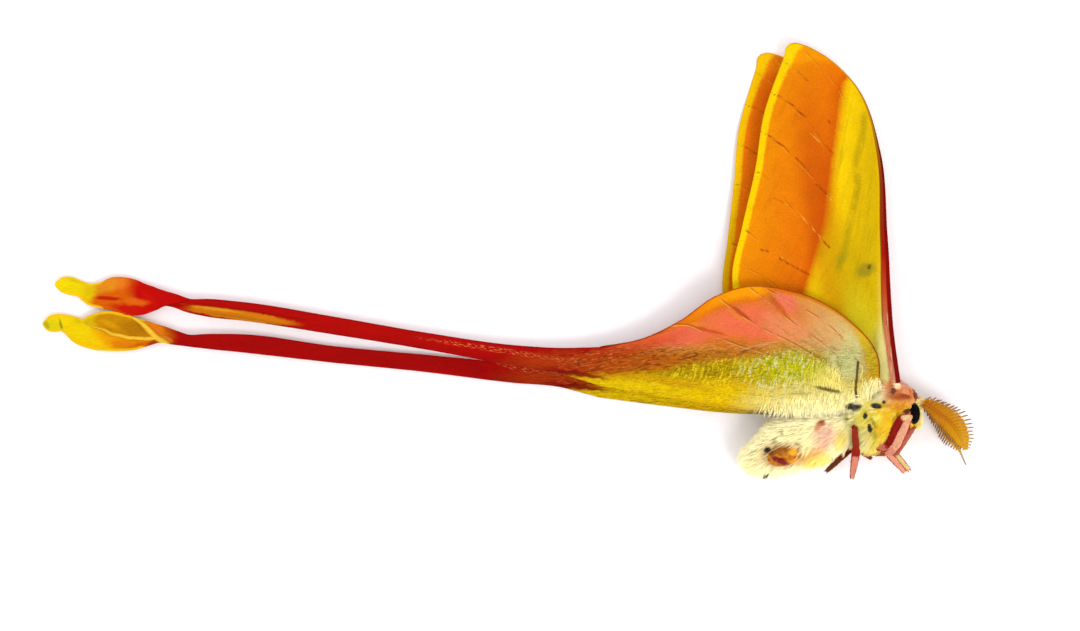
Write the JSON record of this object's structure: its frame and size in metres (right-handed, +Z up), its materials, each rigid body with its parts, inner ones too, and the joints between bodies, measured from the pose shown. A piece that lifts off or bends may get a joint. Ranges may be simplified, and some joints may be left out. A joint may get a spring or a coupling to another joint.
{
  "type": "chinese moon moth",
  "caption": "Life-size male Chinese moon moth at rest on its left side, wings closed over its back, with long twisted tails, feathered feelers and a furry body.",
  "frame": {"origin": "centre of the bounding box, at the level of the floor that the moth lies on", "axes": "+X from the tails to the head, +Y from the belly to the back and the wing tips, +Z up, from the moth's left side to its right"},
  "size_m": [0.1454, 0.0685, 0.0099],
  "materials": {
    "wing_orange": "scaled membrane, orange towards the outer margin and yellow towards the root",
    "wing_yellow": "scaled membrane, yellow with brown wrinkles and a cream hairy inner margin",
    "tail_red": "scaled ribbon, dark red",
    "tail_yellow": "scaled ribbon, orange to yellow",
    "fur_cream": "woolly fur",
    "fur_yellow": "woolly fur",
    "eye": "black, finely faceted",
    "feeler": "ochre horn",
    "leg": "short pink and dark red fur",
    "clasper": "bare brown horn"
  },
  "bodies": {
    "root": {"head": "fur_yellow", "eye_right": "eye", "eye_left": "eye", "antenna_right": "feeler", "antenna_left": "feeler", "thorax": "fur_yellow", "abdomen": "fur_cream", "clasper": "clasper", "forewing_right": "wing_orange", "forewing_left": "wing_orange", "hindwing_right": "wing_yellow", "hindwing_left": "wing_yellow", "tail_right": "tail_red", "tail_left": "tail_red", "tail_end_right": "tail_yellow", "tail_end_left": "tail_yellow", "foreleg_right": "leg", "foreleg_left": "leg", "midleg_right": "leg", "midleg_left": "leg", "hindleg_right": "leg", "hindleg_left": "leg"}
  },
  "joints": []
}
